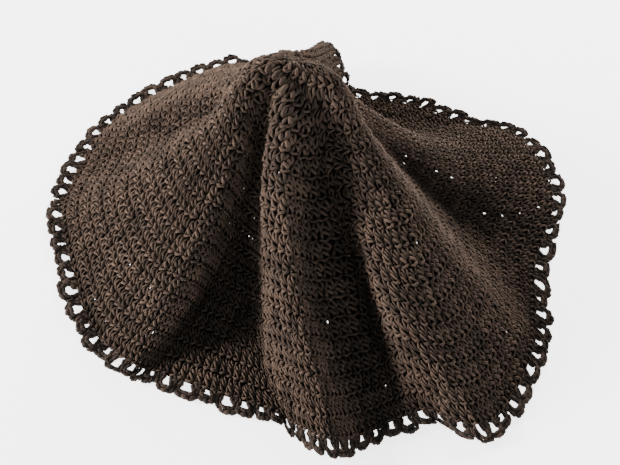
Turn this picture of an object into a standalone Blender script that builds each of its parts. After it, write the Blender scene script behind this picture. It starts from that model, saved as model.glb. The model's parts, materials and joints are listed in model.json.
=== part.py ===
"""Round crochet mat lying in folds: pulled up into a peak near its middle, with a loop edging all round.

The cloth is one skin of even thickness. A row of FOLDS holds the course of one ridge or valley from the
peak to the rim; the skin is a smooth surface through all the rows, and is level where it lies on the floor.
"""
import math
import random

import bmesh
import bpy
import numpy as np

MM = 0.001

# flat mat
ROUNDS_RADIUS = 192.0 * MM      # from the middle to the base of the edging
THICKNESS = 2.4 * MM            # double crochet in cotton yarn

# edging of chain loops
LOOP_COUNT = 96
LOOP_DEPTH = 8.2 * MM           # outer end of a loop from the last round
CORD_WIDTH = 3.0 * MM           # chain seen from above
FOOT_HALF = 1.6 * MM            # half of the stitch two loops share
LOOP_SEED = 11

# how the cloth lies
LIFT_OFF = 2.0 * MM             # heights in the table under this count as lying
LINE_STEPS = 241
CROWN_FULLNESS = 0.75           # how level the cloth leaves the peak

# columns: points round the mat, then the rings they make as shares of the way from peak to rim
RINGS = (
    (24, (0.055, 0.11)),
    (48, (0.165, 0.215, 0.27)),
    (96, (0.34, 0.42, 0.50, 0.58, 0.66, 0.74, 0.82, 0.90, 0.962)),
)

PEAK = (-20, 27, 110)           # mm
STATIONS = (0.0, 0.14, 1 / 3, 2 / 3, 1.0)
# columns: name, bearing on the flat mat in degrees, then x, y, height in mm at the crown, inner, middle, rim
FOLDS = (
    ("valley 1",            0, (-24, 18, 90), (-32, 1, 50), (-43, -43, 7), (-49, -115, 0)),
    ("valley 1 far side",  12, (-19, 14, 94), (-25, -17, 55), (-26, -74, 9), (-19, -126, 0)),
    ("ridge 2 near side",  21, (-17, 11, 98), (-22, -21, 72), (-19, -70, 35), (-6, -135, 5)),
    ("ridge 2",            31, (-12, 10, 101), (-13, -26, 78), (-7, -78, 43), (9, -148, 13)),
    ("ridge 2 far side",   40, (-7, 13, 99), (-5, -17, 69), (3, -73, 28), (21, -145, 7)),
    ("valley 2 slope",     46, (-4, 15, 97), (1, -6, 62), (17, -67, 16), (33, -138, 2)),
    ("valley 2",           52, (-1, 16, 97), (8, 1, 59), (34, -60, 8), (46, -131, 0)),
    ("ridge 3 edge",       60, (3, 16, 100), (17, -1, 69), (40, -80, 40), (63, -127, 5)),
    ("ridge 3 bulge",      68, (8, 15, 102), (23, -6, 77), (54, -83, 44), (84, -137, 8)),
    ("ridge 3 corner",     78, (12, 18, 103), (29, -3, 80), (66, -63, 46), (103, -126, 0)),
    ("ridge 3",            89, (14, 23, 102), (32, 5, 78), (72, -42, 45), (120, -97, 3)),
    ("ridge 3 back",      101, (13, 31, 98), (31, 16, 71), (81, -23, 24), (129, -68, 0)),
    ("valley 3",          114, (12, 37, 94), (29, 28, 62), (82, 8, 12), (134, -30, 0)),
    ("ridge 4",           130, (9, 42, 93), (31, 39, 57), (86, 22, 28), (152, 26, 4)),
    ("right back",        147, (4, 46, 92), (24, 54, 60), (77, 50, 26), (138, 78, 3)),
    ("back dip",          161, (-2, 48, 92), (13, 64, 58), (51, 71, 14), (100, 95, 0)),
    ("back foot",         175, (-7, 49, 93), (2, 68, 56), (26, 84, 9), (64, 113, 0)),
    ("valley 5",          188, (-11, 49, 95), (-6, 71, 59), (4, 91, 13), (28, 120, 0)),
    ("ridge 5",           205, (-15, 48, 99), (-12, 68, 82), (1, 98, 59), (12, 147, 23)),
    ("valley 6",          222, (-20, 47, 96), (-21, 72, 62), (-23, 101, 16), (-19, 135, 0)),
    ("ridge 6",           236, (-25, 44, 99), (-30, 62, 79), (-42, 104, 40), (-48, 150, 3)),
    ("left back",         250, (-29, 40, 100), (-43, 54, 77), (-66, 97, 39), (-87, 134, 0)),
    ("crest A",           268, (-33, 34, 101), (-51, 40, 77), (-90, 67, 41), (-131, 92, 2)),
    ("dip A",             283, (-35, 30, 100), (-56, 29, 68), (-101, 43, 27), (-148, 48, 0)),
    ("crest B",           298, (-36, 24, 101), (-57, 15, 74), (-102, 8, 38), (-152, 11, 2)),
    ("left flap",         312, (-36, 20, 102), (-53, 1, 77), (-93, -25, 41), (-139, -32, 0)),
    ("left flap front",   325, (-35, 17, 102), (-48, -5, 77), (-81, -48, 42), (-123, -72, 0)),
    ("ridge 1",           337, (-33, 15, 100), (-39, -6, 74), (-64, -60, 39), (-98, -97, 6)),
    ("valley 1 foot",     348, (-29, 16, 95), (-38, -1, 57), (-61, -49, 10), (-82, -102, 0)),
)


def spline(knots, values, tangents, at):
    """Cubic through the values with the given tangents, read at the places in at."""
    span = np.clip(np.searchsorted(knots, at, side="right") - 1, 0, len(knots) - 2)
    width = knots[span + 1] - knots[span]
    part = (at - knots[span]) / width
    shape = (-1,) + (1,) * (values.ndim - 1)
    width, part = width.reshape(shape), part.reshape(shape)
    square, cube = part ** 2, part ** 3
    return (
        (2 * cube - 3 * square + 1) * values[span]
        + (cube - 2 * square + part) * width * tangents[span]
        + (3 * square - 2 * cube) * values[span + 1]
        + (cube - square) * width * tangents[span + 1]
    )


def slopes(knots, values):
    """Tangents from the neighbours on both sides; the two end rows stay zero."""
    result = np.zeros_like(values)
    shape = (-1,) + (1,) * (values.ndim - 1)
    result[1:-1] = (values[2:] - values[:-2]) / (knots[2:] - knots[:-2]).reshape(shape)
    return result


def stations_at(bearings):
    """Crown, inner, middle and rim points of the skin at each bearing, as [bearing, station, xyz]."""
    knots = np.array([row[1] for row in FOLDS], float)
    values = np.array([row[2:] for row in FOLDS], float) * MM
    knots = np.concatenate([knots[-2:] - 360, knots, knots[:3] + 360])
    values = np.concatenate([values[-2:], values, values[:3]])
    return spline(knots, values, slopes(knots, values), np.asarray(bearings) % 360)


def lines_at(bearings):
    """Fine lines from the peak to the rim, as [step, bearing, xyz], level where they reach the floor."""
    angle = np.radians(bearings)[:, None]
    crown = stations_at(np.arange(0, 360, 2.0))
    turn = np.radians(np.arange(0, 360, 2.0))[:, None]
    peak = np.array(PEAK, float) * MM
    east = 2 * ((crown[:, 0] - peak) * np.cos(turn)).mean(0)
    north = 2 * ((crown[:, 0] - peak) * np.sin(turn)).mean(0)
    knots = np.array(STATIONS)
    points = np.concatenate([np.broadcast_to(peak, (len(bearings), 1, 3)), stations_at(bearings)], 1)
    points = points.transpose(1, 0, 2)
    tangents = slopes(knots, points)
    tangents[0] = CROWN_FULLNESS * (east * np.cos(angle) + north * np.sin(angle)) / knots[1]
    tangents[-1] = (points[-1] - points[-2]) / (knots[-1] - knots[-2])
    lines = spline(knots, points, tangents, np.linspace(0, 1, LINE_STEPS))
    lines[..., 2] = THICKNESS / 2 + np.maximum(lines[..., 2] - LIFT_OFF, 0)
    return lines


def skin_points(bearings, share):
    """Points of the mid surface at one share of the way from peak to rim, measured along the cloth."""
    lines = lines_at(bearings)
    steps = np.linalg.norm(np.diff(lines, axis=0), axis=2)
    travelled = np.concatenate([np.zeros((1, len(bearings))), np.cumsum(steps, 0)])
    result = np.empty((len(bearings), 3))
    for column, total in enumerate(travelled[-1]):
        for axis in range(3):
            result[column, axis] = np.interp(share * total, travelled[:, column], lines[:, column, axis])
    return result


def edging_points(bearings, outward):
    """Points beyond the rim, each so far outward along the line the cloth leaves it on."""
    lines = lines_at(bearings)
    heading = lines[-1] - lines[-6]
    heading /= np.linalg.norm(heading, axis=1, keepdims=True)
    lowest = (THICKNESS / 2 - lines[-1][:, 2]) / LOOP_DEPTH
    heading[:, 2] = np.maximum(heading[:, 2], lowest)
    heading /= np.linalg.norm(heading, axis=1, keepdims=True)
    result = lines[-1] + heading * np.asarray(outward)[:, None]
    result[:, 2] = np.maximum(result[:, 2], THICKNESS / 2)
    return result


def loop_outline(chance):
    """One loop on the flat as (share of the pitch, outward) pairs: inner side of the chain, then outer side."""
    depth = LOOP_DEPTH * chance.uniform(0.88, 1.06)
    lean = chance.uniform(-0.05, 0.05)
    inner, outer = [], []
    for turn in (36, 72, 108, 144):
        side = -math.cos(math.radians(turn))
        rise = math.sin(math.radians(turn)) ** 0.7
        inner.append((0.5 + 0.29 * side + lean * rise, (depth - CORD_WIDTH) * rise))
        outer.append((0.5 + 0.47 * side + lean * rise, depth * rise))
    return inner, outer


def ring_faces(low, high):
    """Faces between two rings of points, where the outer ring has as many points or twice as many."""
    if len(low) == 1:
        return [(low[0], high[column - 1], high[column]) for column in range(len(high))]
    if len(low) == len(high):
        return [(low[column - 1], high[column - 1], high[column], low[column]) for column in range(len(low))]
    faces = []
    for column in range(len(low)):
        start, middle, end = high[2 * column - 2], high[2 * column - 1], high[2 * column]
        faces.append((low[column - 1], start, middle))
        faces.append((low[column - 1], middle, low[column]))
        faces.append((low[column], middle, end))
    return faces


def build_skin():
    """The mid surface as points and faces: rings about the peak, then the loops."""
    points, faces = [], []

    def add(new_points):
        first = len(points)
        points.extend(new_points)
        return list(range(first, len(points)))

    last = add([np.array(PEAK, float) * MM + (0, 0, THICKNESS / 2 - LIFT_OFF)])
    for columns, shares in RINGS:
        bearings = np.arange(columns) * 360.0 / columns
        for share in shares:
            ring = add(skin_points(bearings, share))
            faces += ring_faces(last, ring)
            last = ring

    pitch = 360.0 / LOOP_COUNT
    foot = math.degrees(FOOT_HALF / ROUNDS_RADIUS)
    bearings = np.arange(LOOP_COUNT) * pitch
    middle = add(skin_points(bearings, 1.0))
    right = add(skin_points(bearings + foot, 1.0))
    left = add(skin_points(bearings + pitch - foot, 1.0))
    chance = random.Random(LOOP_SEED)
    for column in range(LOOP_COUNT):
        after = (column + 1) % LOOP_COUNT
        faces.append((last[column], middle[column], right[column]))
        faces.append((last[column], right[column], left[column]))
        faces.append((last[column], left[column], last[after]))
        faces.append((last[after], left[column], middle[after]))
        inner, outer = loop_outline(chance)
        inner_ids, outer_ids = (
            add(edging_points(bearings[column] + pitch * np.array([p[0] for p in side]), [p[1] for p in side]))
            for side in (inner, outer)
        )
        inner_ids = [right[column]] + inner_ids + [left[column]]
        outer_ids = [middle[column]] + outer_ids + [middle[after]]
        for step in range(len(inner_ids) - 1):
            faces.append((inner_ids[step], outer_ids[step], outer_ids[step + 1], inner_ids[step + 1]))
    return points, faces


def thicken(points, faces):
    """A closed body of THICKNESS around the mid surface, level where it touches the floor."""
    work = bmesh.new()
    verts = [work.verts.new(point) for point in points]
    for face in faces:
        work.faces.new([verts[index] for index in face])
    work.normal_update()
    work.verts.index_update()
    middle = np.array([vert.co[:] for vert in verts])
    offset = np.array([vert.normal[:] for vert in verts]) * THICKNESS / 2
    rim = [(edge.link_loops[0].vert.index, edge.link_loops[0].link_loop_next.vert.index)
           for edge in work.edges if edge.is_boundary]
    work.free()
    count = len(middle)
    both = np.concatenate([middle + offset, middle - offset])
    both[:, 2] = np.where(both[:, 2] < 0.05 * MM, 0.0, both[:, 2])
    both[:, :2] -= (both[:, :2].max(0) + both[:, :2].min(0)) / 2
    shell = [tuple(face) for face in faces]
    shell += [tuple(index + count for index in reversed(face)) for face in faces]
    shell += [(end, start, start + count, end + count) for start, end in rim]
    return both, shell


def make_material():
    """Dark brown cotton."""
    material = bpy.data.materials.new("brown_cotton")
    material.use_nodes = True
    shader = material.node_tree.nodes["Principled BSDF"]
    shader.inputs["Base Color"].default_value = (0.060, 0.040, 0.030, 1.0)
    shader.inputs["Roughness"].default_value = 0.85
    return material


def build():
    for old in list(bpy.data.objects):
        bpy.data.objects.remove(old)
    home = bpy.data.collections.new("crochet_placemat")
    bpy.context.scene.collection.children.link(home)
    points, faces = thicken(*build_skin())
    mesh = bpy.data.meshes.new("mat")
    mesh.from_pydata([tuple(point) for point in points], [], faces)
    mesh.validate()
    mesh.update()
    mesh.materials.append(make_material())
    home.objects.link(bpy.data.objects.new("mat", mesh))


build()
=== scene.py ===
import json
import math
import random

import bmesh
import bpy
import numpy as np
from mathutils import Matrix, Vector

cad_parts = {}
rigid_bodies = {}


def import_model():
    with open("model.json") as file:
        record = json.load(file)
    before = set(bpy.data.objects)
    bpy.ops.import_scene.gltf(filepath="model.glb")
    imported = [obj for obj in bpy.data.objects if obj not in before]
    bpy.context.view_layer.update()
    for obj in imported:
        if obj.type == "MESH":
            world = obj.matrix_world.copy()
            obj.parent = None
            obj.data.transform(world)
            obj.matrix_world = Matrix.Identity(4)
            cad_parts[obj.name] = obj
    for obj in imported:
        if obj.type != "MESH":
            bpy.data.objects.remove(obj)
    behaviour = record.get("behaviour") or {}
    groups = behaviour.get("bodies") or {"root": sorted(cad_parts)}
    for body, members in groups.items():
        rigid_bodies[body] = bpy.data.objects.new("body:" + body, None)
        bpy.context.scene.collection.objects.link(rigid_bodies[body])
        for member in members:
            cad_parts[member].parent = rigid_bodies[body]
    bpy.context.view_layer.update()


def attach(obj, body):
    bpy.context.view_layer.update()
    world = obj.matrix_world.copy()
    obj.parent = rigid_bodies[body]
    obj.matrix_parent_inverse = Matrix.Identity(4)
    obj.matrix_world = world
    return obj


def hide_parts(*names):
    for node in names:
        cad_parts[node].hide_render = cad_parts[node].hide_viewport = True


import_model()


# The cloth is a round cotton mat, pulled up into a peak near its middle and let fall in folds on a table.
# This piece is a sheet under the stitches that closes the gaps between them. Its near-black colour is painted
# shade, for the depth between the strands.
# Here and there two stitches pull apart and leave a pinhole that light comes through.

MM = 0.001
ROUNDS_RADIUS = 192 * MM        # middle of the flat mat to the base of the edging
LOOP_DEPTH = 8.2 * MM           # the edging beyond it
THICKNESS = 2.4 * MM
LIFT_OFF = 2 * MM               # heights in the table up to this lie flat on the floor
PICKED_UP_AT = np.array([11.3, -21.2]) * MM      # the peak's place on the flat mat
CENTRING = np.array([-0.18311, 0.47875, 0.0]) * MM
CROWN_FULLNESS = 0.75
PEAK = (-20, 27, 110)
STATIONS = (0.0, 0.14, 1 / 3, 2 / 3, 1.0)
CROWN_STEP = 2.0                # degrees between the points that level the crown
LINE_POINTS = 241               # along the cloth from the peak to the rim
RIM_RUN = 5                     # last steps of that line, which give the edging its heading
# columns: name, bearing on the flat mat in degrees, then x, y, height in mm at the crown, inner, middle, rim
FOLDS = (
    ("valley 1",            0, (-24, 18, 90), (-32, 1, 50), (-43, -43, 7), (-49, -115, 0)),
    ("valley 1 far side",  12, (-19, 14, 94), (-25, -17, 55), (-26, -74, 9), (-19, -126, 0)),
    ("ridge 2 near side",  21, (-17, 11, 98), (-22, -21, 72), (-19, -70, 35), (-6, -135, 5)),
    ("ridge 2",            31, (-12, 10, 101), (-13, -26, 78), (-7, -78, 43), (9, -148, 13)),
    ("ridge 2 far side",   40, (-7, 13, 99), (-5, -17, 69), (3, -73, 28), (21, -145, 7)),
    ("valley 2 slope",     46, (-4, 15, 97), (1, -6, 62), (17, -67, 16), (33, -138, 2)),
    ("valley 2",           52, (-1, 16, 97), (8, 1, 59), (34, -60, 8), (46, -131, 0)),
    ("ridge 3 edge",       60, (3, 16, 100), (17, -1, 69), (40, -80, 40), (63, -127, 5)),
    ("ridge 3 bulge",      68, (8, 15, 102), (23, -6, 77), (54, -83, 44), (84, -137, 8)),
    ("ridge 3 corner",     78, (12, 18, 103), (29, -3, 80), (66, -63, 46), (103, -126, 0)),
    ("ridge 3",            89, (14, 23, 102), (32, 5, 78), (72, -42, 45), (120, -97, 3)),
    ("ridge 3 back",      101, (13, 31, 98), (31, 16, 71), (81, -23, 24), (129, -68, 0)),
    ("valley 3",          114, (12, 37, 94), (29, 28, 62), (82, 8, 12), (134, -30, 0)),
    ("ridge 4",           130, (9, 42, 93), (31, 39, 57), (86, 22, 28), (152, 26, 4)),
    ("right back",        147, (4, 46, 92), (24, 54, 60), (77, 50, 26), (138, 78, 3)),
    ("back dip",          161, (-2, 48, 92), (13, 64, 58), (51, 71, 14), (100, 95, 0)),
    ("back foot",         175, (-7, 49, 93), (2, 68, 56), (26, 84, 9), (64, 113, 0)),
    ("valley 5",          188, (-11, 49, 95), (-6, 71, 59), (4, 91, 13), (28, 120, 0)),
    ("ridge 5",           205, (-15, 48, 99), (-12, 68, 82), (1, 98, 59), (12, 147, 23)),
    ("valley 6",          222, (-20, 47, 96), (-21, 72, 62), (-23, 101, 16), (-19, 135, 0)),
    ("ridge 6",           236, (-25, 44, 99), (-30, 62, 79), (-42, 104, 40), (-48, 150, 3)),
    ("left back",         250, (-29, 40, 100), (-43, 54, 77), (-66, 97, 39), (-87, 134, 0)),
    ("crest A",           268, (-33, 34, 101), (-51, 40, 77), (-90, 67, 41), (-131, 92, 2)),
    ("dip A",             283, (-35, 30, 100), (-56, 29, 68), (-101, 43, 27), (-148, 48, 0)),
    ("crest B",           298, (-36, 24, 101), (-57, 15, 74), (-102, 8, 38), (-152, 11, 2)),
    ("left flap",         312, (-36, 20, 102), (-53, 1, 77), (-93, -25, 41), (-139, -32, 0)),
    ("left flap front",   325, (-35, 17, 102), (-48, -5, 77), (-81, -48, 42), (-123, -72, 0)),
    ("ridge 1",           337, (-33, 15, 100), (-39, -6, 74), (-64, -60, 39), (-98, -97, 6)),
    ("valley 1 foot",     348, (-29, 16, 95), (-38, -1, 57), (-61, -49, 10), (-82, -102, 0)),
)


def spline(knots, values, tangents, at):
    span = np.clip(np.searchsorted(knots, at, side="right") - 1, 0, len(knots) - 2)
    width = knots[span + 1] - knots[span]
    part = (at - knots[span]) / width
    shape = (-1,) + (1,) * (values.ndim - 1)
    width, part = width.reshape(shape), part.reshape(shape)
    square, cube = part ** 2, part ** 3
    return (
        (2 * cube - 3 * square + 1) * values[span]
        + (cube - 2 * square + part) * width * tangents[span]
        + (3 * square - 2 * cube) * values[span + 1]
        + (cube - square) * width * tangents[span + 1]
    )


def slopes(knots, values):
    result = np.zeros_like(values)
    shape = (-1,) + (1,) * (values.ndim - 1)
    result[1:-1] = (values[2:] - values[:-2]) / (knots[2:] - knots[:-2]).reshape(shape)
    return result


def stations_at(bearings):
    """Crown, inner, middle and rim points of the cloth at each bearing."""
    knots = np.array([row[1] for row in FOLDS], float)
    values = np.array([row[2:] for row in FOLDS], float) * MM
    knots = np.concatenate([knots[-2:] - 360, knots, knots[:3] + 360])
    values = np.concatenate([values[-2:], values, values[:3]])
    return spline(knots, values, slopes(knots, values), np.asarray(bearings) % 360)


def lay_of_the_cloth(columns, shares, beyond):
    """Points of the middle of the cloth as [share, bearing, xyz], then rows beyond the rim."""
    bearings = np.arange(columns) * 360.0 / columns
    angle = np.radians(bearings)[:, None]
    around = np.arange(0, 360, CROWN_STEP)
    crown = stations_at(around)[:, 0]
    peak = np.array(PEAK, float) * MM
    east = 2 * ((crown - peak) * np.cos(np.radians(around))[:, None]).mean(0)
    north = 2 * ((crown - peak) * np.sin(np.radians(around))[:, None]).mean(0)
    knots = np.array(STATIONS)
    points = np.concatenate([np.broadcast_to(peak, (columns, 1, 3)), stations_at(bearings)], 1)
    points = points.transpose(1, 0, 2)
    tangents = slopes(knots, points)
    tangents[0] = CROWN_FULLNESS * (east * np.cos(angle) + north * np.sin(angle)) / knots[1]
    tangents[-1] = (points[-1] - points[-2]) / (knots[-1] - knots[-2])
    lines = spline(knots, points, tangents, np.linspace(0, 1, LINE_POINTS))
    lines[..., 2] = THICKNESS / 2 + np.maximum(lines[..., 2] - LIFT_OFF, 0)
    steps = np.linalg.norm(np.diff(lines, axis=0), axis=2)
    travelled = np.concatenate([np.zeros((1, columns)), np.cumsum(steps, 0)])
    rows = np.empty((len(shares), columns, 3))
    for column in range(columns):
        for axis in range(3):
            rows[:, column, axis] = np.interp(np.array(shares) * travelled[-1, column],
                                              travelled[:, column], lines[:, column, axis])
    heading = lines[-1] - lines[-1 - RIM_RUN]
    heading /= np.linalg.norm(heading, axis=1, keepdims=True)
    heading[:, 2] = np.maximum(heading[:, 2], (THICKNESS / 2 - lines[-1][:, 2]) / LOOP_DEPTH)
    heading /= np.linalg.norm(heading, axis=1, keepdims=True)
    past = lines[-1] + heading * np.array(beyond)[:, None, None]
    past[..., 2] = np.maximum(past[..., 2], THICKNESS / 2)
    return np.concatenate([rows, past]) - CENTRING


def flat_place(share, bearing):
    """Where a point of the cloth lies on the flat mat; share 1 is the base of the edging."""
    angle = np.radians(bearing)
    ray = np.stack([np.cos(angle), np.sin(angle)], -1)
    return (1 - np.minimum(share, 1))[..., None] * PICKED_UP_AT + share[..., None] * ROUNDS_RADIUS * ray


def add_object(name, points, faces, smooth=True):
    mesh = bpy.data.meshes.new(name)
    mesh.from_pydata([tuple(map(float, point)) for point in points], [], faces)
    mesh.update()
    mesh.polygons.foreach_set("use_smooth", [smooth] * len(mesh.polygons))
    thing = bpy.data.objects.new(name, mesh)
    bpy.context.scene.collection.objects.link(thing)
    return thing


def ring_numbers(rings, columns):
    """Faces of a disc of rings round one middle point, which is number 0."""
    after = lambda column: (column + 1) % columns
    faces = [(0, 1 + column, 1 + after(column)) for column in range(columns)]
    for ring in range(rings - 1):
        low, high = 1 + ring * columns, 1 + (ring + 1) * columns
        faces += [(low + c, high + c, high + after(c), low + after(c)) for c in range(columns)]
    return faces


# The lay of the cloth is a helper surface: everything worked on the flat mat is carried onto it.
# Its UV map holds the place on the flat mat, from 0 to 1 across 422 mm.
FLAT_SPAN = 2.2 * ROUNDS_RADIUS
lay_columns = 480
lay_shares = np.linspace(0, 1, 121)[1:]
lay_beyond = np.array([2.0, 4, 6, 8, 10, 12, 14, 16]) * MM
lay_rows = lay_of_the_cloth(lay_columns, lay_shares, lay_beyond)
lay_points = np.concatenate([[np.array(PEAK) * MM + (0, 0, THICKNESS / 2 - LIFT_OFF) - CENTRING],
                             lay_rows.reshape(-1, 3)])
lay = add_object("lay", lay_points, ring_numbers(len(lay_rows), lay_columns))
lay_share = np.concatenate([lay_shares, 1 + lay_beyond / ROUNDS_RADIUS])
bearing_grid, share_grid = np.meshgrid(np.arange(lay_columns) * 360.0 / lay_columns, lay_share)
lay_flat = np.concatenate([[PICKED_UP_AT], flat_place(share_grid, bearing_grid).reshape(-1, 2)])
corner_vertex = np.empty(len(lay.data.loops), int)
lay.data.loops.foreach_get("vertex_index", corner_vertex)
lay_uv = lay_flat[corner_vertex] / FLAT_SPAN + 0.5
lay.data.uv_layers.new(name="flat").data.foreach_set("uv", lay_uv.ravel())
lay_normals = np.array([vertex.normal[:] for vertex in lay.data.vertices])
lay.data.attributes.new("facing", "FLOAT_VECTOR", "POINT").data.foreach_set("vector", lay_normals.ravel())


class Wire:
    """One output of a node; sums on it add Math nodes to its tree."""

    def __init__(self, socket):
        self.socket = socket
        self.tree = socket.id_data

    def maths(self, operation, *values):
        return add_node(self.tree, "ShaderNodeMath", {"operation": operation}, dict(enumerate(values)))

    def __add__(self, other): return self.maths("ADD", self, other)
    def __radd__(self, other): return self.maths("ADD", other, self)
    def __sub__(self, other): return self.maths("SUBTRACT", self, other)
    def __rsub__(self, other): return self.maths("SUBTRACT", other, self)
    def __mul__(self, other): return self.maths("MULTIPLY", self, other)
    def __rmul__(self, other): return self.maths("MULTIPLY", other, self)
    def __truediv__(self, other): return self.maths("DIVIDE", self, other)
    def __mod__(self, other): return self.maths("FLOORED_MODULO", self, other)
    def power(self, other): return self.maths("POWER", self, other)
    def most(self, other): return self.maths("MAXIMUM", self, other)
    def root(self): return self.maths("SQRT", self)
    def floor(self): return self.maths("FLOOR", self)
    def sine(self): return self.maths("SINE", self)
    def cosine(self): return self.maths("COSINE", self)
    def clamped(self): return self.maths("MINIMUM", self.maths("MAXIMUM", self, 0.0), 1.0)


def add_node(tree, kind, settings=None, inputs=None, output=0):
    """A node with its settings made first, then its sockets by name or number; returns one output."""
    node = tree.nodes.new(kind)
    for name, value in (settings or {}).items():
        setattr(node, name, value)
    for name, value in (inputs or {}).items():
        socket = node.inputs[name]
        if isinstance(value, Wire):
            tree.links.new(value.socket, socket)
        else:
            socket.default_value = value
    return Wire(node.outputs[output]) if node.outputs else node


def of(wire, output):
    """Another output of the node that a wire comes from."""
    return Wire(wire.socket.node.outputs[output])


def finish_yarn(name, dark, light, ply_depth, fuzz, gloss):
    """Mercerised brown cotton: plies that turn round the strand, uneven dye, painted shade in the grooves
    between the plies, and a low sheen.
    """
    material = bpy.data.materials.new(name)
    material.use_nodes = True
    tree = material.node_tree
    tree.nodes.clear()
    place = add_node(tree, "ShaderNodeTexCoord", output="Object")
    along_round = add_node(tree, "ShaderNodeUVMap", {"uv_map": "yarn"})
    along = add_node(tree, "ShaderNodeSeparateXYZ", inputs={0: along_round})
    tone = add_node(tree, "ShaderNodeAttribute", {"attribute_name": "tone"}, output="Fac")
    plies = ((along * 2 + of(along, 1) * 3) * (2 * math.pi)).sine()
    ply_groove_and_shade = (1 - plies.maths("ABSOLUTE", plies)).power(2.0)
    wisps = add_node(tree, "ShaderNodeTexNoise", {"noise_dimensions": "3D"},
                     {"Vector": place, "Scale": 2600.0, "Detail": 3.0, "Roughness": 0.65})
    patches = add_node(tree, "ShaderNodeTexNoise", inputs={"Vector": place, "Scale": 55.0, "Detail": 2.0})
    # Darker in the grooves between the plies: painted shade. Tone, patches and wisps are dye that differs at
    # random.
    shade = (0.30 + 0.42 * tone + 0.55 * (patches - 0.5) + 0.55 * (wisps - 0.5) - 0.30 * ply_groove_and_shade).clamped()
    colour = add_node(tree, "ShaderNodeMix", {"data_type": "RGBA"},
                      {0: shade, 6: (*dark, 1.0), 7: (*light, 1.0)}, output=2)
    relief = 0.75 * (1 - ply_groove_and_shade) + fuzz * wisps
    bump = add_node(tree, "ShaderNodeBump", inputs={"Strength": 0.8, "Distance": ply_depth, "Height": relief})
    shader = add_node(tree, "ShaderNodeBsdfPrincipled", inputs={
        "Base Color": colour, "Roughness": (0.85 - 0.33 * gloss + 0.16 * wisps), "Normal": bump,
        "Specular IOR Level": 0.02 * gloss, "Sheen Weight": 0.06 * gloss, "Sheen Roughness": 0.45,
        "Sheen Tint": (0.80, 0.60, 0.48, 1.0)})
    add_node(tree, "ShaderNodeOutputMaterial", inputs={0: shader})
    return material


# The sheet's near-black colours are painted shade for the depth in the gaps between the stitches, not a
# colour of the yarn.
GAP_SHADE_DARK, GAP_SHADE_PALE = (0.008, 0.006, 0.005), (0.020, 0.015, 0.012)
gap_shade_material = finish_yarn("brown_cotton_back", GAP_SHADE_DARK, GAP_SHADE_PALE, 0.25 * MM, 0.5, 0.0)

ROUNDS = 19
ROUND_HEIGHT = ROUNDS_RADIUS / ROUNDS
STITCHES_ADDED = 12
GROUND_COLUMNS, GROUND_RINGS = 240, 80
GROUND_THICKNESS = 0.7 * MM
FIRST_PIERCED_ROUND = 3
PINHOLE = (1.3 * MM, 2.0 * MM)      # across and along the post
PINHOLE_PLACE = (0.4, 1.2 * MM)     # stitches past the post, and up from the foot of the round
PINHOLE_DRIFT, PINHOLE_REACH = 0.16, 0.3    # most of its shift and of its half size, in widths of its face
# columns: bearing on the flat mat from, to, share of the way to the rim from, to, chance at each stitch
PINHOLE_AREAS = (
    (345, 380, 0.15, 0.55, 0.34),
    (100, 152, 0.45, 0.97, 0.18),
    (300, 330, 0.75, 0.97, 0.15),
    (40, 100, 0.55, 0.97, 0.05),
    (0, 360, 0.30, 0.98, 0.008),
)


def flat_to_share(place):
    """The way back from the flat mat to (share, bearing)."""
    offset = place - PICKED_UP_AT
    spare = ROUNDS_RADIUS ** 2 - PICKED_UP_AT @ PICKED_UP_AT
    inward = offset @ PICKED_UP_AT
    share = (inward + math.sqrt(inward ** 2 + spare * (offset @ offset))) / spare
    ray = place - (1 - share) * PICKED_UP_AT
    return share, math.degrees(math.atan2(ray[1], ray[0])) % 360


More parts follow.
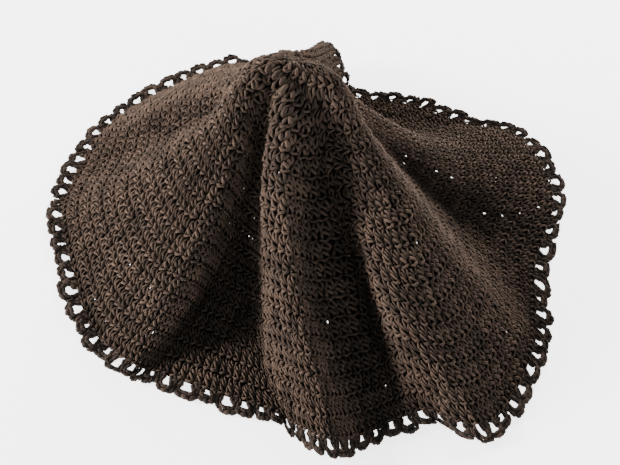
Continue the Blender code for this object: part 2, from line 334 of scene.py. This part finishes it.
def make_ground():
    chance = random.Random(5)
    shares = np.linspace(0, 1, GROUND_RINGS + 1)[1:]
    rows = lay_of_the_cloth(GROUND_COLUMNS, shares, [])
    points = [tuple(lay_points[0])] + [tuple(point) for point in rows.reshape(-1, 3)]
    faces = ring_numbers(GROUND_RINGS, GROUND_COLUMNS)
    flat = np.concatenate([[PICKED_UP_AT], flat_place(*np.meshgrid(
        shares, np.arange(GROUND_COLUMNS) * 360.0 / GROUND_COLUMNS, indexing="ij")).reshape(-1, 2)])
    pierced = {}
    for round_number in range(FIRST_PIERCED_ROUND, ROUNDS + 1):
        count = STITCHES_ADDED * round_number
        for stitch in range(count):
            draw = chance.random()
            angle = (stitch + PINHOLE_PLACE[0] + 0.5 * (round_number % 2)) * 2 * math.pi / count
            radius = (round_number - 1) * ROUND_HEIGHT + PINHOLE_PLACE[1]
            place = radius * np.array([math.cos(angle), math.sin(angle)])
            share, bearing = flat_to_share(place)
            for low, high, inner, outer, odds in PINHOLE_AREAS:
                if (low <= bearing <= high or low <= bearing + 360 <= high) and inner <= share <= outer:
                    if draw < odds:
                        ring = int(share * GROUND_RINGS)
                        column = int(bearing / 360 * GROUND_COLUMNS) % GROUND_COLUMNS
                        pierced[ring * GROUND_COLUMNS + column] = (place, angle)
                    break
    kept = []
    for number, face in enumerate(faces):
        if number not in pierced:
            kept.append(face)
            continue
        place, angle = pierced[number]
        corners = np.array([points[v] for v in face])
        flat_corners = flat[list(face)]
        middle = flat_corners.mean(0)
        across, along = flat_corners[3] - flat_corners[0], flat_corners[1] - flat_corners[0]
        basis = np.array([along, across]).T
        turned = np.array([[-math.sin(angle), math.cos(angle)], [math.cos(angle), math.sin(angle)]])
        drift = np.clip(np.linalg.solve(basis, place - middle), -PINHOLE_DRIFT, PINHOLE_DRIFT)
        ring = []
        for u, v in ((-1, -1), (1, -1), (1, 1), (-1, 1)):
            out = turned.T @ np.array([v * PINHOLE[0] / 2, u * PINHOLE[1] / 2])
            local = np.clip(np.linalg.solve(basis, out), -PINHOLE_REACH, PINHOLE_REACH) + drift + 0.5
            s, t = local
            point = ((1 - s) * (1 - t) * corners[0] + s * (1 - t) * corners[1]
                     + s * t * corners[2] + (1 - s) * t * corners[3])
            ring.append(len(points))
            points.append(tuple(point))
        for side in range(4):
            after = (side + 1) % 4
            kept.append((face[side], face[after], ring[after], ring[side]))
    sheet = add_object("ground", points, kept)
    solid = sheet.modifiers.new("both faces", "SOLIDIFY")
    solid.thickness, solid.offset = GROUND_THICKNESS, 0.0
    return sheet


def plain(thing):
    """The evaluated object as a plain mesh, with its modifiers gone."""
    mesh = bpy.data.meshes.new_from_object(thing.evaluated_get(bpy.context.evaluated_depsgraph_get()))
    thing.modifiers.clear()
    old, thing.data = thing.data, mesh
    bpy.data.meshes.remove(old)
    mesh.name = thing.name
    return thing


ground = plain(make_ground())
ground.data.materials.append(gap_shade_material)
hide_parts("mat")
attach(ground, "root")


# The rounds of double crochet: nineteen of them, each with twelve stitches more than the one before it.
# A stitch has two legs that spread from one base, two wraps of yarn that slant over them, the top of its
# post, and a link of the chain that caps the round.

YARN_RADIUS = 0.80 * MM
YARN_TAPER = 0.72               # of the radius, at the ends that sink into the cloth
YARN_TURN = 4 * MM              # length of strand for one step of its UV map
YARN_SHIFT = 0.37               # steps by which the plies of the next strand start later
SIZE_BY_HAND = (0.93, 1.07)     # spread of the strands' thickness
PLACE_BY_HAND = 0.24            # mm by which a point of a strand strays
STITCH_VARIANTS = 5
# strands of one stitch in mm: across, up the round, out of the cloth; sides, radius share
STITCH_STRANDS = (
    ("left leg", 4, 1.00, ((0.1, -5.4, -0.2), (-0.7, -3.9, 1.40), (-1.7, -1.9, 1.60), (-2.2, 0.1, 0.4))),
    ("right leg", 4, 1.00, ((0.9, -5.3, -0.2), (1.5, -3.8, 1.30), (2.1, -1.9, 1.45), (2.2, -0.2, 0.3))),
    ("lower wrap", 4, 1.00, ((2.1, -2.9, 0.3), (0.9, -2.0, 1.60), (-0.6, -0.6, 1.80), (-2.0, 0.5, 0.3))),
    ("upper wrap", 4, 1.08, ((2.3, -0.6, 0.4), (1.2, 0.6, 2.00), (-0.5, 2.1, 2.15), (-2.2, 3.1, 0.4))),
    ("top of post", 4, 1.00, ((2.0, 0.0, 0.2), (2.1, 1.2, 1.00), (1.8, 2.6, 1.00), (1.0, 3.9, 0.1))),
    ("chain link", 4, 1.08, ((-2.7, 2.7, 0.1), (-1.4, 4.0, 1.50), (0.5, 5.0, 1.80), (2.8, 3.6, 0.2))),
)


def add_strand(work, uv, path, radius, sides, phase=0.0):
    """A closed tube of yarn along a path, its UV map counting along and round the strand."""
    path = [Vector(point) for point in path]
    rings, travelled = [], [0.0]
    for start, end in zip(path, path[1:]):
        travelled.append(travelled[-1] + (end - start).length)
    for number, point in enumerate(path):
        before, after = path[max(number - 1, 0)], path[min(number + 1, len(path) - 1)]
        heading = (after - before).normalized()
        out = Vector((0, 0, 1))
        out = (out - heading * out.dot(heading)).normalized()
        side = heading.cross(out)
        size = radius * (YARN_TAPER if number in (0, len(path) - 1) else 1.0)
        rings.append([work.verts.new(point + size * (
            math.cos(2 * math.pi * step / sides) * side + math.sin(2 * math.pi * step / sides) * out))
            for step in range(sides)])
    for number in range(len(path) - 1):
        for step in range(sides):
            after = (step + 1) % sides
            face = work.faces.new((rings[number][step], rings[number][after],
                                   rings[number + 1][after], rings[number + 1][step]))
            for loop, (u, v) in zip(face.loops, ((0, 0), (0, 1), (1, 1), (1, 0))):
                loop[uv].uv = (travelled[number + u] / YARN_TURN + phase, (step + v) / sides)
            face.smooth = True
    work.faces.new(rings[0][::-1])
    work.faces.new(rings[-1])


def shapes(name, strands, variants):
    """A collection of slightly different hand-made copies of one stitch or link."""
    home = bpy.data.collections.new(name)
    chance = random.Random(17)
    for variant in range(variants):
        home.objects.link(shape(f"{name}_{variant}", [
            (sides, share * chance.uniform(*SIZE_BY_HAND),
             [Vector([part + chance.uniform(-PLACE_BY_HAND, PLACE_BY_HAND) for part in point]) * MM
              for point in path])
            for _, sides, share, path in strands]))
    return home


def shape(name, strands):
    work = bmesh.new()
    uv = work.loops.layers.uv.new("yarn")
    for number, (sides, share, path) in enumerate(strands):
        add_strand(work, uv, path, YARN_RADIUS * share, sides, YARN_SHIFT * number)
    bmesh.ops.recalc_face_normals(work, faces=work.faces)
    mesh = bpy.data.meshes.new(name)
    work.to_mesh(mesh)
    work.free()
    return bpy.data.objects.new(name, mesh)


def picked(tree, collection, number, seed, variants):
    """One of the collection's shapes for each point, as (instances, which)."""
    each = add_node(tree, "GeometryNodeCollectionInfo", {"transform_space": "ORIGINAL"},
                    {"Collection": collection, "Separate Children": True, "Reset Children": True})
    which = add_node(tree, "FunctionNodeRandomValue", {"data_type": "INT"},
                     {4: 0, 5: variants, "ID": number, "Seed": seed}, output=2)
    return each, which


def new_tree(name, inputs):
    """An empty tree for a modifier, with its named inputs; returns it and its inputs as wires."""
    tree = bpy.data.node_groups.new(name, "GeometryNodeTree")
    tree.interface.new_socket("Geometry", in_out="INPUT", socket_type="NodeSocketGeometry")
    for label, kind in inputs:
        tree.interface.new_socket(label, in_out="INPUT", socket_type="NodeSocket" + kind)
    tree.interface.new_socket("Geometry", in_out="OUTPUT", socket_type="NodeSocketGeometry")
    group = tree.nodes.new("NodeGroupInput")
    return tree, {socket.name: Wire(socket) for socket in group.outputs if socket.name}


# columns: bumps in a metre, share of the wander; first from stitch to stitch, then a slower drift of many
WANDERINGS = ((190.0, 1.0), (30.0, 2.4))
WANDER_OUT = 0.6                # share of the wander that goes in and out of the cloth


def carry_onto_cloth(tree, pieces, lay_object, span, floor_gap, wander, material):
    """Ends a tree: moves pieces made on the flat mat onto the lay of the cloth, out along its facing."""
    here = add_node(tree, "GeometryNodeInputPosition")
    for scale, share in WANDERINGS:
        drift = add_node(tree, "ShaderNodeTexNoise", {"noise_dimensions": "3D"},
                         {"Vector": here, "Scale": scale, "Detail": 1.0}, output="Color")
        centred = add_node(tree, "ShaderNodeVectorMath", {"operation": "SUBTRACT"},
                           {0: drift, 1: (0.5, 0.5, 0.5)})
        stray = add_node(tree, "ShaderNodeCombineXYZ", inputs={
            "X": wander * share, "Y": wander * share, "Z": wander * WANDER_OUT})
        here = add_node(tree, "ShaderNodeVectorMath", {"operation": "MULTIPLY_ADD"},
                        {0: centred, 1: stray, 2: here})
    lay_mesh = add_node(tree, "GeometryNodeObjectInfo", {"transform_space": "ORIGINAL"},
                        {"Object": lay_object}, output="Geometry")
    place = add_node(tree, "ShaderNodeSeparateXYZ", inputs={0: here})
    spot = add_node(tree, "ShaderNodeCombineXYZ", inputs={
        "X": place / span + 0.5, "Y": of(place, 1) / span + 0.5})
    flat, facing = (add_node(tree, "GeometryNodeInputNamedAttribute", {"data_type": "FLOAT_VECTOR"},
                             {"Name": name}) for name in ("flat", "facing"))
    found = [add_node(tree, "GeometryNodeSampleUVSurface", {"data_type": "FLOAT_VECTOR"},
                      {"Mesh": lay_mesh, "Value": value, "Source UV Map": flat, "Sample UV": spot})
             for value in (add_node(tree, "GeometryNodeInputPosition"), facing)]
    out = add_node(tree, "ShaderNodeVectorMath", {"operation": "NORMALIZE"}, {0: found[1]})
    lifted = add_node(tree, "ShaderNodeVectorMath", {"operation": "MULTIPLY_ADD"},
                      {0: out, 1: add_node(tree, "ShaderNodeCombineXYZ", inputs={
                          "X": of(place, 2), "Y": of(place, 2), "Z": of(place, 2)}), 2: found[0]})
    parts = add_node(tree, "ShaderNodeSeparateXYZ", inputs={0: lifted})
    resting = add_node(tree, "ShaderNodeCombineXYZ", inputs={
        "X": parts, "Y": of(parts, 1), "Z": of(parts, 2).most(floor_gap)})
    moved = add_node(tree, "GeometryNodeSetPosition", inputs={"Geometry": pieces, "Position": resting})
    dressed = add_node(tree, "GeometryNodeSetMaterial", inputs={"Geometry": moved, "Material": material})
    end = tree.nodes.new("NodeGroupOutput")
    tree.links.new(dressed.socket, end.inputs[0])


def stitches_tree():
    tree, given = new_tree("rounds of stitches", (
        ("First Round", "Int"), ("Last Round", "Int"), ("Round Height", "Float"), ("Stitches Added", "Int"),
        ("Stitch", "Collection"), ("Variants", "Int"), ("Lay", "Object"), ("Flat Span", "Float"),
        ("Floor Gap", "Float"), ("Wander", "Float"), ("Lean", "Float"), ("Size Spread", "Float"),
        ("Seed", "Int"), ("Material", "Material")))
    first, last, half = given["First Round"], given["Last Round"], given["Stitches Added"] / 2
    before = half * (first - 1) * first
    count = half * (last + 1) * last - before
    points = add_node(tree, "GeometryNodePoints", inputs={"Count": count})
    number = add_node(tree, "GeometryNodeInputIndex") + before
    full_rounds = (((number + 0.5) / half * 4 + 1).root() / 2 - 0.5).floor()
    round_number = full_rounds + 1
    stitch = number - half * full_rounds * round_number
    seed = given["Seed"]

    def spread(low, high, offset):
        return add_node(tree, "FunctionNodeRandomValue", {"data_type": "FLOAT"},
                        {2: low, 3: high, "ID": number, "Seed": seed + offset}, output=1)

    drift = spread(-0.07, 0.07, 1)
    in_round = round_number * given["Stitches Added"]
    angle = (stitch + (round_number % 2) / 2 + drift) * (2 * math.pi) / in_round
    radius = (full_rounds + 0.5) * given["Round Height"]
    place = add_node(tree, "ShaderNodeCombineXYZ", inputs={
        "X": radius * angle.cosine(), "Y": radius * angle.sine()})
    placed = add_node(tree, "GeometryNodeSetPosition", inputs={"Geometry": points, "Position": place})
    lean, size = given["Lean"], given["Size Spread"]
    turn = add_node(tree, "ShaderNodeCombineXYZ", inputs={
        "X": spread(-1.0, 1.0, 2) * lean / 2, "Y": spread(-1.0, 1.0, 3) * lean,
        "Z": angle - math.pi / 2 + spread(-1.0, 1.0, 4) * lean})
    width = (full_rounds + 0.5) / round_number * (1 + spread(-1.0, 1.0, 5) * size)
    scale = add_node(tree, "ShaderNodeCombineXYZ", inputs={
        "X": width, "Y": 1 + spread(-1.0, 1.0, 6) * size, "Z": 1 + spread(-1.0, 1.0, 7) * size * 2})
    each, which = picked(tree, given["Stitch"], number, seed + 9, given["Variants"] - 1)
    toned = add_node(tree, "GeometryNodeStoreNamedAttribute", {"data_type": "FLOAT", "domain": "POINT"},
                     {"Geometry": placed, "Name": "tone", "Value": spread(0.0, 1.0, 8)})
    worked = add_node(tree, "GeometryNodeInstanceOnPoints", inputs={
        "Points": toned, "Instance": each, "Pick Instance": True, "Instance Index": which,
        "Rotation": turn, "Scale": scale})
    real = add_node(tree, "GeometryNodeRealizeInstances", inputs={0: worked})
    carry_onto_cloth(tree, real, given["Lay"], given["Flat Span"], given["Floor Gap"], given["Wander"],
                     given["Material"])
    return tree


def grow(name, tree, start, values):
    """Runs a tree on an object, its inputs set by identifier first, and leaves a plain mesh."""
    thing = bpy.data.objects.new(name, start)
    modifier = thing.modifiers.new(tree.name, "NODES")
    modifier.node_group = tree
    for item in tree.interface.items_tree:
        if item.in_out == "INPUT" and item.name in values:
            modifier[item.identifier] = values[item.name]
    bpy.context.scene.collection.objects.link(thing)
    plain(thing)
    thing.data.polygons.foreach_set("use_smooth", [True] * len(thing.data.polygons))
    return thing


YARN_DARK, YARN_LIGHT = (0.023, 0.018, 0.0155), (0.130, 0.084, 0.0615)
FLOOR_GAP = 0.15 * MM
stitch_material = finish_yarn("brown_cotton_yarn", YARN_DARK, YARN_LIGHT, 0.22 * MM, 0.35, 1.0)
stitch_shapes = shapes("stitch", STITCH_STRANDS, STITCH_VARIANTS)
rounds_tree = stitches_tree()
for first, last in ((1, 11), (12, 15), (16, 19)):
    piece = grow(f"rounds_{first}_to_{last}", rounds_tree, bpy.data.meshes.new("start"), {
        "First Round": first, "Last Round": last, "Round Height": ROUND_HEIGHT,
        "Stitches Added": STITCHES_ADDED, "Stitch": stitch_shapes, "Variants": STITCH_VARIANTS, "Lay": lay,
        "Flat Span": FLAT_SPAN, "Floor Gap": FLOOR_GAP, "Wander": 1.0 * MM, "Lean": 0.11, "Size Spread": 0.07,
        "Seed": 31, "Material": stitch_material})
    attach(piece, "root")


# The loop edging: ninety-six loops of chain worked into the last round, with a short stitch between loops.
# A loop has seven links, of which the one at each foot sinks into the round. A link is a tear shape of
# yarn, pulled through the link before it, and the loops lie a little over each other.

LOOP_COUNT, CORD_WIDTH = 96, 3.0 * MM
LOOP_POINTS = 41                # along the chain of a loop
LINKS_IN_LOOP, LINK_VARIANTS = 7, 4
LINK_LENGTH = 2.9 * MM
LINK_HEADING = 0.3              # links before and after its middle, between which a link is laid
# strands of one link in mm, along the chain upwards
LINK_STRANDS = (
    ("left of link", 5, 1.78, ((0.0, -2.0, -0.8), (-1.25, -0.8, 0.7), (-1.20, 0.8, 1.0), (0.0, 1.8, -0.2))),
    ("right of link", 5, 1.78, ((0.0, -1.9, -0.9), (1.25, -0.6, 0.3), (1.20, 0.9, 0.7), (0.1, 1.9, 0.0))),
)
# strands of the short stitch that holds two loops
FOOT_STRANDS = (
    ("left of foot", 4, 1.2, ((-0.5, -3.0, 0.2), (-1.0, -1.2, 1.2), (-0.9, 0.8, 1.2), (-0.3, 2.4, 0.2))),
    ("right of foot", 4, 1.2, ((0.5, -3.0, 0.2), (0.9, -1.3, 1.1), (1.0, 0.7, 1.3), (0.3, 2.4, 0.3))),
    ("wrap of foot", 4, 1.1, ((-1.9, 0.6, 0.0), (-0.5, 1.3, 1.4), (0.6, 1.3, 1.4), (1.9, 0.6, 0.0))),
)


def edging_guides():
    """Place on the flat mat, heading and stretch of each link, then of each foot."""
    links, feet = [], []
    chance, twist = random.Random(11), random.Random(23)
    pitch = 2 * math.pi / LOOP_COUNT
    for loop in range(LOOP_COUNT):
        depth = LOOP_DEPTH * chance.uniform(0.88, 1.06) * twist.uniform(0.90, 1.28) - CORD_WIDTH / 2
        lean = chance.uniform(-0.05, 0.05) + twist.uniform(-0.16, 0.16)
        reach, lift = twist.uniform(0.46, 0.68), (1.2 * (loop % 2) + twist.uniform(0.0, 1.8)) * MM
        path = []
        for step in range(LOOP_POINTS):
            turn = math.pi * step / (LOOP_POINTS - 1)
            rise = max(math.sin(turn), 0.0) ** 0.8
            share = 0.5 - reach * math.cos(turn) * (0.48 + 0.62 * math.sin(turn)) + lean * rise
            angle, radius = (loop + share) * pitch, ROUNDS_RADIUS + depth * rise
            path.append(np.array([radius * math.cos(angle), radius * math.sin(angle), lift * rise]))
        path = np.array(path)
        travelled = np.concatenate([[0], np.cumsum(np.linalg.norm(np.diff(path, axis=0), axis=1))])
        for link in range(LINKS_IN_LOOP):
            at = [(link + 0.5 + part) / LINKS_IN_LOOP * travelled[-1]
                  for part in (-LINK_HEADING, 0.0, LINK_HEADING)]
            back, here, ahead = np.array([np.interp(at, travelled, path[:, axis]) for axis in range(3)]).T
            step = ahead - back
            links.append((here, math.atan2(step[1], step[0]), travelled[-1] / LINKS_IN_LOOP / LINK_LENGTH))
        angle = loop * pitch
        feet.append((ROUNDS_RADIUS * np.array([math.cos(angle), math.sin(angle), 0.0]), angle, 1.0))
    return links, feet


def guide_mesh(name, guides):
    mesh = bpy.data.meshes.new(name)
    mesh.from_pydata([tuple(map(float, place)) for place, _, _ in guides], [], [])
    for column, label in ((1, "heading"), (2, "stretch")):
        values = [row[column] for row in guides]
        mesh.attributes.new(label, "FLOAT", "POINT").data.foreach_set("value", values)
    return mesh


def edging_tree():
    tree, given = new_tree("chain edging", (
        ("Link", "Collection"), ("Variants", "Int"), ("Lay", "Object"), ("Flat Span", "Float"),
        ("Floor Gap", "Float"), ("Wander", "Float"), ("Roll", "Float"), ("Seed", "Int"),
        ("Material", "Material")))
    points = add_node(tree, "GeometryNodeMeshToPoints", inputs={"Mesh": given["Geometry"]})
    heading, stretch = (add_node(tree, "GeometryNodeInputNamedAttribute", {"data_type": "FLOAT"},
                                 {"Name": name}) for name in ("heading", "stretch"))

    def spread(low, high, offset):
        return add_node(tree, "FunctionNodeRandomValue", {"data_type": "FLOAT"},
                        {2: low, 3: high, "Seed": given["Seed"] + offset}, output=1)

    turn = add_node(tree, "ShaderNodeCombineXYZ", inputs={
        "Y": spread(-1.0, 1.0, 1) * given["Roll"], "Z": heading - math.pi / 2 + spread(-0.14, 0.14, 2)})
    scale = add_node(tree, "ShaderNodeCombineXYZ", inputs={
        "X": spread(0.92, 1.1, 3), "Y": stretch, "Z": spread(0.92, 1.12, 4)})
    number = add_node(tree, "GeometryNodeInputIndex")
    each, which = picked(tree, given["Link"], number, given["Seed"] + 9, given["Variants"] - 1)
    # The edging's tone is set lower than that of the rounds, though it is the same yarn: painted shade for
    # its tight chain of loops.
    toned = add_node(tree, "GeometryNodeStoreNamedAttribute", {"data_type": "FLOAT", "domain": "POINT"},
                     {"Geometry": points, "Name": "tone", "Value": spread(-0.6, 0.1, 5)})
    worked = add_node(tree, "GeometryNodeInstanceOnPoints", inputs={
        "Points": toned, "Instance": each, "Pick Instance": True, "Instance Index": which,
        "Rotation": turn, "Scale": scale})
    real = add_node(tree, "GeometryNodeRealizeInstances", inputs={0: worked})
    carry_onto_cloth(tree, real, given["Lay"], given["Flat Span"], given["Floor Gap"], given["Wander"],
                     given["Material"])
    return tree


chain_tree = edging_tree()
for name, guides, strands, roll in zip(("edging_chain", "edging_feet"), edging_guides(),
                                       (LINK_STRANDS, FOOT_STRANDS), (0.4, 0.1)):
    piece = grow(name, chain_tree, guide_mesh(name + "_guides", guides), {
        "Link": shapes(name + "_shape", strands, LINK_VARIANTS), "Variants": LINK_VARIANTS, "Lay": lay,
        "Flat Span": FLAT_SPAN, "Floor Gap": FLOOR_GAP, "Wander": 1.3 * MM, "Roll": roll, "Seed": 7,
        "Material": stitch_material})
    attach(piece, "root")
bpy.data.objects.remove(lay)
for home in bpy.data.collections:
    if home.name.startswith(("stitch", "edging")):
        for part in list(home.objects):
            bpy.data.objects.remove(part)


# The table is one pale plain surface of matt paint that the mat lies on, large enough to fill the view.
# A glow of its own stands for the strong daylight that burns the real one out to white.

TABLE_REACH = 20.0              # metres from its middle to each edge
PAINT_COOL, PAINT_PLAIN = (0.86, 0.865, 0.875, 1.0), (0.90, 0.90, 0.90, 1.0)
DAYLIGHT_GLOW = 3.3


def pale_surface():
    material = bpy.data.materials.new("pale_surface")
    material.use_nodes = True
    tree = material.node_tree
    tree.nodes.clear()
    place = add_node(tree, "ShaderNodeTexCoord", output="Object")
    clouds = add_node(tree, "ShaderNodeTexNoise", inputs={"Vector": place, "Scale": 6.0, "Detail": 4.0})
    colour = add_node(tree, "ShaderNodeMix", {"data_type": "RGBA"},
                      {0: clouds, 6: PAINT_COOL, 7: PAINT_PLAIN}, output=2)
    shader = add_node(tree, "ShaderNodeBsdfPrincipled", inputs={
        "Base Color": colour, "Roughness": 0.7, "Emission Color": (1.0, 1.0, 1.0, 1.0),
        "Emission Strength": DAYLIGHT_GLOW})
    add_node(tree, "ShaderNodeOutputMaterial", inputs={0: shader})
    return material


table_corners = [(x * TABLE_REACH, y * TABLE_REACH, 0) for x, y in ((-1, -1), (1, -1), (1, 1), (-1, 1))]
table = add_object("table", table_corners, [(0, 1, 2, 3)], smooth=False)
table.data.materials.append(pale_surface())


# The light is soft daylight: a window low on the left, a wide one at the back, and a card in front that
# sends a little of it back into the folds. The room itself gives a weak cool light.

LIGHT_AIM = (0, 0, 0.03)
ROOM_COLOUR, ROOM_STRENGTH = (0.68, 0.90, 1.0, 1.0), 0.34


def add_light(name, place, size, power, colour):
    light = bpy.data.lights.new(name, "AREA")
    light.shape, light.size, light.energy, light.color = "DISK", size, power, colour
    lamp = bpy.data.objects.new(name, light)
    lamp.location = place
    lamp.rotation_euler = (Vector(LIGHT_AIM) - Vector(place)).to_track_quat("-Z", "Y").to_euler()
    bpy.context.scene.collection.objects.link(lamp)


add_light("left window", (-1.97, 0.06, 0.76), 0.7, 150.0, (1.0, 0.985, 0.96))
add_light("back window", (0.90, 1.55, 0.82), 1.5, 102.0, (1.0, 0.96, 0.91))
add_light("front card", (0.60, -1.65, 0.75), 1.1, 8.0, (0.92, 0.97, 1.0))
world = bpy.data.worlds.new("room")
bpy.context.scene.world = world
world.use_nodes = True
world.node_tree.nodes["Background"].inputs["Color"].default_value = ROOM_COLOUR
world.node_tree.nodes["Background"].inputs["Strength"].default_value = ROOM_STRENGTH


# The camera looks down on the mat from the front, as in the photograph.
# Its focal length is 1000 pixels of the photograph, which is 620 pixels wide.

SENSOR_WIDTH, FOCAL_PIXELS, PHOTO_PIXELS = 36.0, 1000, 620
CAMERA_ELEVATION, CAMERA_DISTANCE = math.radians(50), 0.571
CAMERA_AIM = Vector((0.0010, -0.0271, 0.03))
lens = bpy.data.cameras.new("camera")
lens.sensor_width, lens.lens = SENSOR_WIDTH, SENSOR_WIDTH * FOCAL_PIXELS / PHOTO_PIXELS
camera = bpy.data.objects.new("camera", lens)
away = Vector((0, -math.cos(CAMERA_ELEVATION), math.sin(CAMERA_ELEVATION)))
camera.location = CAMERA_AIM + CAMERA_DISTANCE * away
camera.rotation_euler = (math.pi / 2 - CAMERA_ELEVATION, 0, 0)
bpy.context.scene.collection.objects.link(camera)
bpy.context.scene.camera = camera
